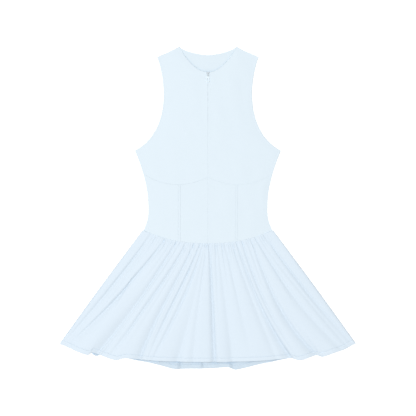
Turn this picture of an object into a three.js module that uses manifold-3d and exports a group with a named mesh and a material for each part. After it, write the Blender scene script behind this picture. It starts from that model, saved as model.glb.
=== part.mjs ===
// A sleeveless mini dress with a front zip and a gathered skirt, laid out flat on its back.
// Millimetres. X is across the dress, towards the wearer's left. Y is up the dress, towards the neck.
// Z is up from the surface that it lies on. The origin is under the middle of the dress.
// "down" is a distance down the dress from the high point of the shoulder, and "half" is a distance
// sideways from the centre line. "left" and "right" are the wearer's.
import * as THREE from "three";
import { mergeVertices } from "three/addons/utils/BufferGeometryUtils.js";
import Module from "manifold-3d";

const wasm = await Module();
wasm.setup();

// Whole garment
const LENGTH = 808; // high point of the shoulder to the longest point of the hem
const TOP = LENGTH / 2; // height of the shoulder point above the origin, along Y
const CLOTH = 1.2; // thickness of one layer
const SEAM = 0.3; // room between pieces that are sewn together or lie on each other
const TURN = 1e-4; // tolerance for merging points

// Bodice
const NECK = { half: 71.5, down: 0 };
const SHOULDER = { half: 127, down: 27 };
const UNDERARM = { half: 182.5, down: 261 };
const FRONT_NECK_DOWN = 64.5;
const BACK_NECK_DOWN = 23.8;
const ARMHOLE_PULL = [{ half: 100, down: 100 }, { half: 99, down: 217.5 }];
const FRONT_NECK_PULL = [{ half: 58.5, down: 29 }, { half: 29, down: FRONT_NECK_DOWN }];
const BACK_NECK_PULL = [{ half: 65.5, down: 11 }, { half: 23, down: BACK_NECK_DOWN }];
const SHOULDER_SAG = 3; // how far the shoulder seam dips below a straight line
const SIDE_SEAM = [
  { down: UNDERARM.down, half: UNDERARM.half },
  { down: 309, half: 164.8 },
  { down: 360, half: 152.4 },
  { down: 401, half: 149 },
  { down: 432, half: 150.8 },
  { down: 461, half: 161 },
];
const UNDERBUST = { centre: 327.5, low: 346.5, lowAt: 74 };
const CHANNEL = { half: 71.3, width: 5.6, proud: 0.5 }; // the boned seam either side of the middle

// Drop waist and skirt
const WAIST_SEAM = { half: 161, side: 461, centre: 493.5, curve: 2.3 };
const SKIRT_TOP = 163.6; // half width of the gathered edge, just below the seam
const SKIRT_BOW = 1.5; // how far each side of the skirt swells out past a straight line
const HEM = { half: 370, corner: 743, frontCentre: 791, backCentre: 806.5 };
const FRONT_HEM_CURVE = 2.57;
const BACK_HEM_FLAT = 60; // half width of the straight middle of the back hem
const BACK_HEM_CURVE = 1.15;

// How high the front layer is lifted off the back layer, down the dress from the shoulder seam
const LIFT = [
  { down: 0, lift: 0 },
  { down: 26, lift: 1.5 },
  { down: 60, lift: 2.4 },
  { down: 110, lift: 2.6 },
  { down: 230, lift: 3 },
  { down: 400, lift: 2.3 },
  { down: 500, lift: 2.4 },
];
const EDGE_SHARPNESS = 4; // how late the front layer falls to the side seam

// The skirt's layers, at the waist seam, halfway down and at the hem
const BACK_RIDGE = { waist: 0.5, middle: 2.4, hem: 4 };
const FRONT_LOFT = { waist: 1.6, middle: 4.4, hem: 6.8 };
const SIDE_LOFT = 3.4; // height of the roll of cloth along the side seam
const SIDE_ROLL = 9; // width over which that roll rises
const SIDE_FALL = 60; // width over which the layers come down to the side seam

// The front skirt's folds, from the wearer's right to the left. The first three columns are where the
// fold's bottom runs: its distance from the centre line at the waist seam, halfway down and at the hem.
// The next three say how much of the loft it cuts away there. The last two are how far its slopes
// reach at the hem, to the wearer's right and to the left.
const FRONT_FOLDS = [
  { waist: -141, middle: -248.5, hem: -365, cuts: [0.85, 0.75, 0.4], right: 5, left: 10 },
  { waist: -134.8, middle: -236, hem: -359, cuts: [0.6, 0.3, 0.3], right: 4, left: 4 },
  { waist: -127, middle: -229, hem: -357, cuts: [0.4, 0, 0], right: 4, left: 4 },
  { waist: -106, middle: -219.8, hem: -354, cuts: [0.85, 0.85, 0.7], right: 6, left: 15 },
  { waist: -98.5, middle: -207.5, hem: -325, cuts: [0.7, 0, 0], right: 5, left: 6 },
  { waist: -87.3, middle: -190, hem: -300, cuts: [0.4, 0, 0], right: 5, left: 5 },
  { waist: -77.3, middle: -169.8, hem: -276, cuts: [0.85, 0.75, 1], right: 16, left: 6 },
  { waist: -67.3, middle: -161, hem: -266, cuts: [0.5, 0.35, 0.7], right: 5, left: 8 },
  { waist: -53.5, middle: -142.3, hem: -250, cuts: [0.8, 0.6, 0.3], right: 9, left: 7 },
  { waist: -47.3, middle: -127.3, hem: -215, cuts: [0.4, 0.15, 0], right: 6, left: 6 },
  { waist: -33.5, middle: -104.8, hem: -170, cuts: [0.85, 0.7, 0.9], right: 14, left: 5 },
  { waist: -27.3, middle: -94, hem: -160, cuts: [0.4, 0.2, 0.2], right: 5, left: 5 },
  { waist: -18.5, middle: -84.8, hem: -150, cuts: [0.9, 0.75, 0.2], right: 7, left: 6 },
  { waist: -11.5, middle: -66, hem: -139.8, cuts: [0.7, 0.6, 0.3], right: 6, left: 6 },
  { waist: -7, middle: -37.3, hem: -76, cuts: [0.5, 0.25, 0.8], right: 16, left: 10 },
  { waist: -2.5, middle: -22.3, hem: -37, cuts: [0.7, 0.3, 0.3], right: 10, left: 8 },
  { waist: 4.5, middle: 10.8, hem: 16.5, cuts: [0.95, 0.9, 0.9], right: 9, left: 6 },
  { waist: 19, middle: 25.3, hem: 35, cuts: [0.6, 0.1, 0], right: 5, left: 5 },
  { waist: 24, middle: 44, hem: 61.5, cuts: [0.4, 0.4, 0.6], right: 12, left: 16 },
  { waist: 34, middle: 57.5, hem: 80, cuts: [0.7, 0, 0], right: 5, left: 5 },
  { waist: 42.8, middle: 76.5, hem: 110, cuts: [0.55, 0.3, 0], right: 8, left: 10 },
  { waist: 59, middle: 112, hem: 172.5, cuts: [0.6, 0.5, 0.3], right: 12, left: 8 },
  { waist: 71.5, middle: 125.3, hem: 208, cuts: [0.85, 0.85, 1], right: 18, left: 5 },
  { waist: 84, middle: 139, hem: 230, cuts: [0.75, 0.5, 0], right: 7, left: 7 },
  { waist: 99, middle: 153, hem: 246, cuts: [0.6, 0, 0], right: 5, left: 5 },
  { waist: 107.8, middle: 169, hem: 271.5, cuts: [0.7, 0.75, 1], right: 12, left: 5 },
  { waist: 112.8, middle: 183, hem: 279, cuts: [0.4, 0, 0.7], right: 6, left: 9 },
  { waist: 117.8, middle: 212.8, hem: 337, cuts: [0.85, 0.7, 0.5], right: 14, left: 12 },
  { waist: 125.3, middle: 234, hem: 351, cuts: [0.4, 0.35, 0.3], right: 4, left: 4 },
  { waist: 131.5, middle: 240, hem: 357, cuts: [0.4, 0, 0], right: 4, left: 4 },
  { waist: 139, middle: 245.5, hem: 364, cuts: [0.85, 0.75, 0.5], right: 10, left: 5 },
];
const FOLD_SLOPE_AT_WAIST = 2.2; // reach of every fold's slopes at the waist seam
const FOLD_ROOM = 0.3; // room below the bottom of a fold, where its wall is thicker
const FOLD_CLEARANCE = 1.3; // least distance between the bottoms of two folds
const HALFWAY = 0.5;

// Where the front hem drops past its smooth curve, at the ends of the largest rolls of cloth
const HEM_LOBES = [
  { at: -300, drop: 9, right: 55, left: 6 },
  { at: -230, drop: 8.5, right: 38, left: 14 },
  { at: 230, drop: 9, right: 15, left: 36 },
  { at: 287, drop: 10, right: 12, left: 45 },
  { at: 342, drop: 4, right: 20, left: 16 },
];

// The same for the back hem, which shows in the middle and in a notch near the right corner.
const BACK_HEM_LOBES = [
  { at: -281, drop: 11.5, right: 12, left: 14 },
  { at: -88, drop: 4.2, right: 30, left: 22 },
  { at: 53, drop: -3.5, right: 35, left: 4 },
  { at: 68, drop: 4.3, right: 5, left: 42 },
];

// The back skirt's folds stand up from the surface. The same columns, with their height as a share of
// the ridge height. Three of them show below the front hem.
const BACK_FOLDS = [
  { waist: -140, middle: -240, hem: -338, rise: 0.6, right: 14, left: 9 },
  { waist: -118, middle: -206, hem: -290, rise: 0.9, right: 12, left: 10 },
  { waist: -97, middle: -168, hem: -236, rise: 0.7, right: 18, left: 9 },
  { waist: -79, middle: -130, hem: -182, rise: 0.9, right: 12, left: 14 },
  { waist: -60, middle: -92, hem: -128, rise: 0.6, right: 16, left: 8 },
  { waist: -42, middle: -60, hem: -75, rise: 1, right: 20, left: 4 },
  { waist: -20, middle: -19, hem: -17, rise: 0.9, right: 24, left: 4 },
  { waist: 2, middle: 8, hem: 18, rise: 0.5, right: 10, left: 12 },
  { waist: 22, middle: 38, hem: 56, rise: 1, right: 18, left: 4 },
  { waist: 44, middle: 72, hem: 104, rise: 0.6, right: 12, left: 18 },
  { waist: 66, middle: 112, hem: 158, rise: 0.8, right: 14, left: 10 },
  { waist: 86, middle: 150, hem: 212, rise: 0.7, right: 10, left: 16 },
  { waist: 108, middle: 190, hem: 268, rise: 0.9, right: 14, left: 12 },
  { waist: 136, middle: 232, hem: 326, rise: 0.6, right: 12, left: 10 },
];

// Zip
const ZIP_GAP = 0.3; // half of the gap between the folded front edges
const ZIP_GAP_AT_NECK = 2.2;
const ZIP_SPREAD = 15.5; // length over which the edges part at the neck
const TAPE = { width: 13, thickness: 1, setBack: 0.1 };
const SLIDER = { down: 70.5, above: 6, below: 4, topHalf: 3.9, lowHalf: 2.2, plate: 1, footHalf: 3.2, foot: 0.8 };
const POST = { half: 0.7, above: 4.5, below: 0.5 };
const BAIL = { half: 0.8, room: 2.2, thick: 1, above: 3.6, below: 3.2 };
const PULL = { thick: 1.2, railHalf: 2.4, windowHalf: 1.25, window: 5.6, length: 21, loopHalf: 4.5, tilt: 3 };
const PULL_HOLE = { from: 9, to: 17.8, half: 2.6 };
const PULL_END = 0.25; // how far the rails run past the hinge pin

// Colours
const finish = (color, roughness, metalness = 0) =>
  new THREE.MeshStandardMaterial({ color, roughness, metalness });
const CLOTH_FINISH = finish("#e4f2fb", 0.75);
const SKIRT_FINISH = finish("#e0effa", 0.75);
const TAPE_FINISH = finish("#cfdde6", 0.85);
const SLIDER_FINISH = finish("#98a6ad", 0.35, 0.9);
const PULL_FINISH = finish("#d6e6f0", 0.4, 0.1);

const lerp = THREE.MathUtils.lerp;
const clamp = THREE.MathUtils.clamp;
const smooth = THREE.MathUtils.smoothstep;

// A smooth curve through a table of rows, read from one named column by another.
function readTable(rows, from, to) {
  return (at) => {
    const last = rows.length - 1;
    const value = (k) => rows[clamp(k, 0, last)];
    if (at <= rows[0][from]) return rows[0][to];
    if (at >= rows[last][from]) return rows[last][to];
    const k = rows.findIndex((row) => row[from] > at) - 1;
    const slope = (n) =>
      (value(n + 1)[to] - value(n - 1)[to]) / (value(n + 1)[from] - value(n - 1)[from]);
    const span = rows[k + 1][from] - rows[k][from];
    const t = (at - rows[k][from]) / span;
    return (
      (1 + 2 * t) * (1 - t) ** 2 * rows[k][to] +
      t * (1 - t) ** 2 * span * slope(k) +
      t * t * (3 - 2 * t) * rows[k + 1][to] +
      t * t * (t - 1) * span * slope(k + 1)
    );
  };
}

// A cubic curve between two points of the pattern, drawn towards two more.
function patternCurve(start, [pullA, pullB], end) {
  const point = ({ half, down }) => new THREE.Vector2(half, down);
  const curve = new THREE.CubicBezierCurve(point(start), point(pullA), point(pullB), point(end));
  return (t) => {
    const p = curve.getPoint(t);
    return { half: p.x, down: p.y };
  };
}

const armhole = patternCurve(SHOULDER, ARMHOLE_PULL, UNDERARM);
const frontNeck = patternCurve(NECK, FRONT_NECK_PULL, { half: ZIP_GAP_AT_NECK, down: FRONT_NECK_DOWN });
const backNeck = patternCurve(NECK, BACK_NECK_PULL, { half: 0, down: BACK_NECK_DOWN });
const sideHalf = readTable(SIDE_SEAM, "down", "half");
const liftDown = readTable(LIFT, "down", "lift");
const ARMHOLE_STEPS = 24;
const ARMHOLE_ROWS = Array.from({ length: ARMHOLE_STEPS + 1 }, (_, k) => armhole(k / ARMHOLE_STEPS));
const armholeHalf = readTable(ARMHOLE_ROWS, "down", "half");

// Half the width of the bodice at a distance down.
const bodiceHalf = (down) => (down < UNDERARM.down ? armholeHalf(down) : sideHalf(down));

// The shoulder seam, from the neck (t = 0) to the armhole (t = 1).
function shoulder(t) {
  return {
    half: lerp(NECK.half, SHOULDER.half, t),
    down: lerp(NECK.down, SHOULDER.down, t) + SHOULDER_SAG * Math.sin(Math.PI * t) * (1 - t),
  };
}

const underbustDown = (half) =>
  UNDERBUST.low -
  (UNDERBUST.low - UNDERBUST.centre) * ((half - UNDERBUST.lowAt) / UNDERBUST.lowAt) ** 2;

const waistSeamDown = (half) =>
  WAIST_SEAM.centre -
  (WAIST_SEAM.centre - WAIST_SEAM.side) * (half / WAIST_SEAM.half) ** WAIST_SEAM.curve;

// Where the underbust seam meets the side seam, found by stepping between the two curves.
function underbustCorner() {
  let half = sideHalf(UNDERBUST.centre);
  for (let k = 0; k < 20; k++) half = sideHalf(underbustDown(half));
  return { half, down: underbustDown(half) };
}
const UNDERBUST_SIDE = underbustCorner();

// Half of the gap between the front edges along the zip.
function zipGap(down) {
  const open = clamp((FRONT_NECK_DOWN + ZIP_SPREAD - down) / ZIP_SPREAD, 0, 1);
  return ZIP_GAP + (ZIP_GAP_AT_NECK - ZIP_GAP) * open ** 1.5;
}

// The underside of the bodice's front layer, which lies on the back layer and is lifted in the middle.
function frontUnder(x, down) {
  const half = Math.abs(x);
  const across = clamp((half - NECK.half) / (SHOULDER.half - NECK.half), 0, 1);
  const fromShoulder = Math.max(0, down - shoulder(across).down);
  const share = clamp(half / bodiceHalf(down), 0, 1);
  return CLOTH + SEAM + liftDown(fromShoulder) * (1 - share ** EDGE_SHARPNESS);
}

// One closed body between two surfaces over the same grid of points.
// at(i, j) gives x, down and the low and high surface there.
function clothWall(columns, rows, at) {
  const positions = [];
  const index = [];
  const stride = rows + 1;
  const layer = (columns + 1) * stride;
  for (const side of ["high", "low"])
    for (let i = 0; i <= columns; i++)
      for (let j = 0; j <= rows; j++) {
        const p = at(i, j);
        positions.push(p.x, TOP - p.down, p[side]);
      }
  const quad = (a, b, c, d) => index.push(a, b, c, a, c, d);
  const high = (i, j) => i * stride + j;
  const low = (i, j) => layer + high(i, j);
  for (let i = 0; i < columns; i++)
    for (let j = 0; j < rows; j++) {
      quad(high(i, j), high(i, j + 1), high(i + 1, j + 1), high(i + 1, j));
      quad(low(i, j), low(i + 1, j), low(i + 1, j + 1), low(i, j + 1));
    }
  for (let i = 0; i < columns; i++) {
    quad(high(i, 0), high(i + 1, 0), low(i + 1, 0), low(i, 0));
    quad(high(i + 1, rows), high(i, rows), low(i, rows), low(i + 1, rows));
  }
  for (let j = 0; j < rows; j++) {
    quad(high(0, j + 1), high(0, j), low(0, j), low(0, j + 1));
    quad(high(columns, j), high(columns, j + 1), low(columns, j + 1), low(columns, j));
  }
  return facingOut(positions, index);
}

// A geometry from points and triangles, turned so that its faces point out.
function facingOut(positions, index) {
  let volume = 0;
  const corner = (k) => new THREE.Vector3().fromArray(positions, 3 * k);
  for (let k = 0; k < index.length; k += 3)
    volume += corner(index[k]).dot(corner(index[k + 1]).cross(corner(index[k + 2])));
  if (volume < 0)
    for (let k = 0; k < index.length; k += 3)
      [index[k + 1], index[k + 2]] = [index[k + 2], index[k + 1]];
  return new THREE.BufferGeometry()
    .setAttribute("position", new THREE.Float32BufferAttribute(positions, 3))
    .setIndex(index);
}

// A surface inside four edges of the pattern, where u runs from inner to outer and v from bottom to top.
function patternPatch({ inner, outer, bottom, top }) {
  const corners = [inner(0), outer(0), inner(1), outer(1)];
  return (u, v) => {
    const mix = (key) =>
      lerp(bottom(u)[key], top(u)[key], v) +
      lerp(inner(v)[key], outer(v)[key], u) -
      lerp(lerp(corners[0][key], corners[1][key], u), lerp(corners[2][key], corners[3][key], u), v);
    return { half: mix("half"), down: mix("down") };
  };
}

// A front piece of the bodice on one side: side is 1 for the wearer's left and -1 for the right.
function frontPiece(side, columns, rows, patch, proud = 0) {
  return clothWall(columns, rows, (i, j) => {
    const { half, down } = patch(i / columns, j / rows);
    const low = frontUnder(half, down);
    return { x: side * half, down, low, high: low + CLOTH + proud };
  });
}

// The upper front, from the underbust seam to the shoulder, beside the zip.
const BUST_COLUMNS = 10;
const BUST_ROWS = 20;
const NECK_ROW = 0.7;
const UNDERARM_ROW = 0.2;
function bustPanel(side) {
  const foot = (half) => ({ half, down: underbustDown(half) - SEAM });
  const patch = patternPatch({
    inner: (v) => {
      if (v > NECK_ROW) return frontNeck((1 - v) / (1 - NECK_ROW));
      const down = lerp(foot(ZIP_GAP).down, FRONT_NECK_DOWN, v / NECK_ROW);
      return { half: zipGap(down), down };
    },
    outer: (v) => {
      if (v > UNDERARM_ROW) return armhole((1 - v) / (1 - UNDERARM_ROW));
      const down = lerp(UNDERBUST_SIDE.down - SEAM, UNDERARM.down, v / UNDERARM_ROW);
      return { half: sideHalf(down), down };
    },
    bottom: (u) => foot(lerp(ZIP_GAP, sideHalf(UNDERBUST_SIDE.down - SEAM), u)),
    top: (u) => shoulder(u),
  });
  return frontPiece(side, BUST_COLUMNS, BUST_ROWS, patch);
}

// A piece of the midriff, between two distances from the centre line. The last piece ends at the side seam.
const MIDRIFF_ROWS = 8;
function midriffPanel(side, from, to, columns, proud = 0) {
  const atSide = to === undefined;
  const topOut = atSide ? UNDERBUST_SIDE.half : to;
  const footOut = atSide ? WAIST_SEAM.half : to;
  const top = (half) => ({ half, down: underbustDown(half) });
  const foot = (half) => ({ half, down: waistSeamDown(half) });
  const patch = patternPatch({
    inner: (v) => ({ half: from, down: lerp(foot(from).down, top(from).down, v) }),
    outer: (v) => {
      const down = lerp(foot(footOut).down, top(topOut).down, v);
      return { half: atSide ? sideHalf(down) : to, down };
    },
    bottom: (u) => foot(lerp(from, footOut, u)),
    top: (u) => top(lerp(from, topOut, u)),
  });
  return frontPiece(side, columns, MIDRIFF_ROWS, patch, proud);
}

// The whole upper back in one flat piece, from the waist seam to the shoulders.
const CURVE_STEPS = 12;
function backBodice() {
  const steps = Array.from({ length: CURVE_STEPS + 1 }, (_, k) => k / CURVE_STEPS);
  const outline = [
    ...steps.map((t) => ({ half: t * WAIST_SEAM.half, down: waistSeamDown(t * WAIST_SEAM.half) })),
    ...steps.map((t) => {
      const down = lerp(WAIST_SEAM.side, UNDERARM.down, t);
      return { half: sideHalf(down), down };
    }),
    ...steps.map((t) => armhole(1 - t)),
    ...steps.map((t) => shoulder(1 - t)),
    ...steps.map((t) => backNeck(t)),
  ];
  const onePoint = (p, k) => k === 0 || Math.hypot(p.half - outline[k - 1].half, p.down - outline[k - 1].down) > TURN;
  const kept = outline.filter(onePoint);
  const left = kept.map(({ half, down }) => new THREE.Vector2(half, TOP - down));
  const right = left.slice(1, -1).reverse().map((p) => new THREE.Vector2(-p.x, p.y));
  return new THREE.ExtrudeGeometry(new THREE.Shape([...left, ...right]), { depth: CLOTH, bevelEnabled: false });
}

// A value given at the waist seam, halfway down and at the hem.
function downSkirt([waist, middle, hem], v) {
  const t = v / HALFWAY;
  return waist + t * (middle - waist) + (t * (t - 1) * (hem - 2 * middle + waist)) / 2;
}

const skirtHalf = (v) => lerp(SKIRT_TOP, HEM.half, v) + SKIRT_BOW * Math.sin(Math.PI * v);

// A hump with its own reach to each side.
function hump(distance, reachDown, reachUp, power = 2) {
  return Math.exp(-(Math.abs(distance / (distance < 0 ? reachDown : reachUp)) ** power));
}

// A hem that rises to the corner in a smooth curve, with its lobes.
function hemCurve(centre, flat, power, lobes) {
  const rise = centre - HEM.corner;
  return (x) => {
    const out = Math.max(0, Math.abs(x) - flat) / (HEM.half - flat);
    const drop = (sum, lobe) => sum + lobe.drop * hump(x - lobe.at, lobe.right, lobe.left);
    return lobes.reduce(drop, centre - rise * out ** power);
  };
}
const frontHem = hemCurve(HEM.frontCentre, 0, FRONT_HEM_CURVE, HEM_LOBES);
const backHem = hemCurve(HEM.backCentre, BACK_HEM_FLAT, BACK_HEM_CURVE, BACK_HEM_LOBES);

// The fold lines of a skirt layer at a distance v down it, in order and kept apart, in millimetres.
function foldLines(folds, v) {
  const half = skirtHalf(v);
  const lines = folds.map((fold) => {
    const shares = [fold.waist / skirtHalf(0), fold.middle / skirtHalf(HALFWAY), fold.hem / skirtHalf(1)];
    return downSkirt(shares, v) * half;
  });
  for (let k = 1; k < lines.length; k++) lines[k] = Math.max(lines[k], lines[k - 1] + FOLD_CLEARANCE);
  return lines;
}

// Grid columns that run along the folds: each is a share of the way from one fold line to the next.
function foldColumns(folds, perWidth, most) {
  const ends = [{ waist: -SKIRT_TOP, hem: -HEM.half }, ...folds, { waist: SKIRT_TOP, hem: HEM.half }];
  const columns = [];
  for (let k = 0; k + 1 < ends.length; k++) {
    const width = Math.max(ends[k + 1].hem - ends[k].hem, 2 * (ends[k + 1].waist - ends[k].waist));
    const count = clamp(Math.round(width / perWidth), 2, most);
    for (let n = 0; n < count; n++) columns.push({ gap: k, share: n / count });
  }
  columns.push({ gap: ends.length - 2, share: 1 });
  return columns;
}

// Where a grid column lies across the skirt at v.
function columnX(column, lines, v) {
  const all = [-skirtHalf(v), ...lines, skirtHalf(v)];
  return lerp(all[column.gap], all[column.gap + 1], column.share);
}

const fromSide = (x, v) => skirtHalf(v) - Math.abs(x);

// The height that the back skirt's ridges may reach. The front layer stays above it.
function ridgeRoom(x, v) {
  const { waist, middle, hem } = BACK_RIDGE;
  return downSkirt([waist, middle, hem], v) * smooth(fromSide(x, v), 0, SIDE_FALL);
}

// The underside of the back skirt: flat on the surface between its ridges.
function backSkirtUnder(x, v, lines) {
  const rise = BACK_FOLDS.reduce((most, fold, k) => {
    const reach = lerp(FOLD_SLOPE_AT_WAIST / fold.right, 1, v);
    return Math.max(most, fold.rise * hump(x - lines[k], fold.right * reach, fold.left * reach));
  }, 0);
  return ridgeRoom(x, v) * rise;
}

// How far a front fold's slope reaches at v.
const slopeReach = (atHem, v) => lerp(FOLD_SLOPE_AT_WAIST, atHem, v);

// The lowest that the front skirt may hang: just clear of the back skirt's ridges.
function frontFloor(x, v) {
  const room = ridgeRoom(x, v);
  return CLOTH + SEAM + (room > 0 ? room + SEAM * smooth(fromSide(x, v), 0, SIDE_FALL) : 0);
}

// The upper face of the front skirt: a lofted layer with the folds cut down into it.
function frontSkirtTop(x, v, lines) {
  const { waist, middle, hem } = FRONT_LOFT;
  const inner = smooth(fromSide(x, v), 0, SIDE_FALL);
  const roll = Math.sqrt(1 - (1 - clamp(fromSide(x, v) / SIDE_ROLL, 0, 1)) ** 2);
  const full = downSkirt([waist, middle, hem], v);
  const loft = lerp(Math.min(SIDE_LOFT, full), full, inner) * roll;
  const left = FRONT_FOLDS.reduce((share, fold, k) => {
    const cut = clamp(downSkirt(fold.cuts, v), 0, 1);
    return share * (1 - cut * hump(x - lines[k], slopeReach(fold.right, v), slopeReach(fold.left, v), 1.5));
  }, 1);
  return frontFloor(x, v) + CLOTH + FOLD_ROOM + loft * left;
}

// A layer of the skirt, hung between the waist seam and a hem curve. surface gives one face of the cloth,
// and the other is a cloth's thickness away, measured square to the slope.
const STEEPEST = 2.2;
const SLOPE_STEP = 1.5;
function skirtLayer(folds, rows, perWidth, most, hem, surface, under) {
  const columns = foldColumns(folds, perWidth, most);
  return clothWall(columns.length - 1, rows, (i, j) => {
    const v = j / rows;
    const lines = foldLines(folds, v);
    const x = columnX(columns[i], lines, v);
    const across = x / skirtHalf(v);
    const seam = waistSeamDown(Math.min(Math.abs(across) * SKIRT_TOP, WAIST_SEAM.half)) + SEAM;
    const down = lerp(seam, hem(across * HEM.half), v);
    const face = surface(x, v, lines);
    const limit = skirtHalf(v) - SLOPE_STEP;
    const near = clamp(x, -limit, limit);
    const rises = [-SLOPE_STEP, SLOPE_STEP].map((step) => surface(near + step, v, lines) - surface(near, v, lines));
    const slope = Math.max(...rises.map(Math.abs)) / SLOPE_STEP;
    const thickness = CLOTH * Math.min(Math.hypot(1, slope), STEEPEST);
    if (under) return { x, down, low: face, high: face + thickness };
    return { x, down, low: Math.max(face - thickness, frontFloor(x, v)), high: face };
  });
}

const FRONT_SKIRT_ROWS = 12;
const BACK_SKIRT_ROWS = 7;
const frontSkirt = () => skirtLayer(FRONT_FOLDS, FRONT_SKIRT_ROWS, 9, 6, frontHem, frontSkirtTop, false);
const backSkirt = () => skirtLayer(BACK_FOLDS, BACK_SKIRT_ROWS, 12, 5, backHem, backSkirtUnder, true);

// One of the two woven tapes behind the front edges.
const TAPE_ROWS = 10;
const tapeUnder = (down) => frontUnder(0, down) - SEAM - TAPE.thickness;
function zipTape(side) {
  const foot = UNDERBUST.centre - SEAM;
  return clothWall(1, TAPE_ROWS, (i, j) => {
    const down = lerp(FRONT_NECK_DOWN + SEAM, foot, j / TAPE_ROWS);
    const low = tapeUnder(down);
    const half = zipGap(down) - TAPE.setBack + i * TAPE.width;
    return { x: side * half, down, low, high: low + TAPE.thickness };
  });
}

// A closed geometry as a solid that can be joined to others.
function solid(geometry) {
  const bare = geometry.index ? geometry.toNonIndexed() : geometry.clone();
  bare.deleteAttribute("normal");
  bare.deleteAttribute("uv");
  const merged = mergeVertices(bare, TURN);
  return new wasm.Manifold(
    new wasm.Mesh({
      numProp: 3,
      vertProperties: new Float32Array(merged.attributes.position.array),
      triVerts: new Uint32Array(merged.index.array),
    }),
  );
}

function joined(...geometries) {
  const whole = geometries.map(solid).reduce((a, b) => a.add(b));
  const mesh = whole.getMesh();
  return facingOut(Array.from(mesh.vertProperties), Array.from(mesh.triVerts));
}

// A block between two corners.
function block(low, high) {
  const size = high.map((value, k) => value - low[k]);
  const middle = high.map((value, k) => (value + low[k]) / 2);
  return new THREE.BoxGeometry(...size).translate(...middle);
}

// Heights at the slider, worked out from the cloth that it runs on.
const CLOTH_TOP = frontUnder(0, SLIDER.down) + CLOTH;
const PLATE_LOW = CLOTH_TOP + SEAM;
const PLATE_TOP = PLATE_LOW + SLIDER.plate;
const FOOT_TOP = tapeUnder(SLIDER.down) - SEAM;
const HINGE_HEIGHT = PLATE_TOP + BAIL.room / 2;
const BAIL_INNER = PLATE_TOP + BAIL.room;

// The slider, with its hinge pin's place as its own origin in Y.
function zipSlider() {
  const shield = new THREE.Shape();
  shield.moveTo(-SLIDER.topHalf, SLIDER.above);
  shield.lineTo(SLIDER.topHalf, SLIDER.above);
  shield.quadraticCurveTo(SLIDER.topHalf, SLIDER.above / 4, SLIDER.lowHalf, -SLIDER.below);
  shield.lineTo(-SLIDER.lowHalf, -SLIDER.below);
  shield.quadraticCurveTo(-SLIDER.topHalf, SLIDER.above / 4, -SLIDER.topHalf, SLIDER.above);
  const plate = new THREE.ExtrudeGeometry(shield, { depth: SLIDER.plate, bevelEnabled: false, curveSegments: 6 });
  plate.translate(0, 0, PLATE_LOW);
  const post = block([-POST.half, -POST.below, FOOT_TOP - SLIDER.foot / 2], [POST.half, POST.above, PLATE_LOW + SLIDER.plate / 2]);
  const foot = block(
    [-SLIDER.footHalf, -SLIDER.below, FOOT_TOP - SLIDER.foot],
    [SLIDER.footHalf, SLIDER.above - 1, FOOT_TOP],
  );
  return joined(plate, post, foot, bail());
}

// The bridge over the slider that the pull hangs from.
function bail() {
  const side = new THREE.Shape();
  const rise = BAIL_INNER + BAIL.thick;
  const sunk = PLATE_TOP - SLIDER.plate / 2;
  side.moveTo(BAIL.above, sunk);
  side.lineTo(BAIL.above, BAIL_INNER);
  side.quadraticCurveTo(BAIL.above, rise, BAIL.above - 2, rise);
  side.lineTo(2 - BAIL.below, rise);
  side.quadraticCurveTo(-BAIL.below, rise, -BAIL.below, BAIL_INNER);
  side.lineTo(-BAIL.below, sunk);
  side.lineTo(BAIL.thick - BAIL.below, sunk);
  side.lineTo(BAIL.thick - BAIL.below, BAIL_INNER);
  side.lineTo(BAIL.above - BAIL.thick, BAIL_INNER);
  side.lineTo(BAIL.above - BAIL.thick, sunk);
  const geometry = new THREE.ExtrudeGeometry(side, { depth: 2 * BAIL.half, bevelEnabled: false, curveSegments: 5 });
  // The outline's X becomes Y and its Y becomes Z.
  geometry.applyMatrix4(new THREE.Matrix4().makeBasis(
    new THREE.Vector3(0, 1, 0), new THREE.Vector3(0, 0, 1), new THREE.Vector3(1, 0, 0),
  ));
  return geometry.translate(-BAIL.half, 0, 0);
}

// The teardrop pull, with its hinge pin on the local X axis and its tip towards -Y.
function zipPull() {
  const neck = PULL.window + 1.6;
  const wide = PULL.length - PULL.loopHalf;
  const drop = new THREE.Shape();
  drop.moveTo(-PULL.railHalf, PULL_END);
  drop.lineTo(-PULL.railHalf, -neck + 0.6);
  drop.bezierCurveTo(-PULL.railHalf, -neck - 3, -PULL.loopHalf, -wide + 4, -PULL.loopHalf, -wide);
  drop.bezierCurveTo(-PULL.loopHalf, -PULL.length, PULL.loopHalf, -PULL.length, PULL.loopHalf, -wide);
  drop.bezierCurveTo(PULL.loopHalf, -wide + 4, PULL.railHalf, -neck - 3, PULL.railHalf, -neck + 0.6);
  drop.lineTo(PULL.railHalf, PULL_END);
  drop.lineTo(PULL.windowHalf, PULL_END);
  drop.lineTo(PULL.windowHalf, -PULL.window);
  drop.lineTo(-PULL.windowHalf, -PULL.window);
  drop.lineTo(-PULL.windowHalf, PULL_END);
  const hole = new THREE.Path();
  const low = PULL_HOLE.to - PULL_HOLE.half;
  hole.moveTo(0, -PULL_HOLE.from);
  hole.bezierCurveTo(-1, -PULL_HOLE.from - 1, -PULL_HOLE.half, -low + 3, -PULL_HOLE.half, -low);
  hole.bezierCurveTo(-PULL_HOLE.half, -PULL_HOLE.to - 1, PULL_HOLE.half, -PULL_HOLE.to - 1, PULL_HOLE.half, -low);
  hole.bezierCurveTo(PULL_HOLE.half, -low + 3, 1, -PULL_HOLE.from - 1, 0, -PULL_HOLE.from);
  drop.holes.push(hole);
  const plate = new THREE.ExtrudeGeometry(drop, { depth: PULL.thick, bevelEnabled: false, curveSegments: 6 });
  plate.translate(0, 0, -PULL.thick / 2);
  const pin = new THREE.CylinderGeometry(PULL.thick / 2, PULL.thick / 2, 2 * PULL.railHalf - 0.4, 12).rotateZ(Math.PI / 2);
  return joined(plate, pin);
}

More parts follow.
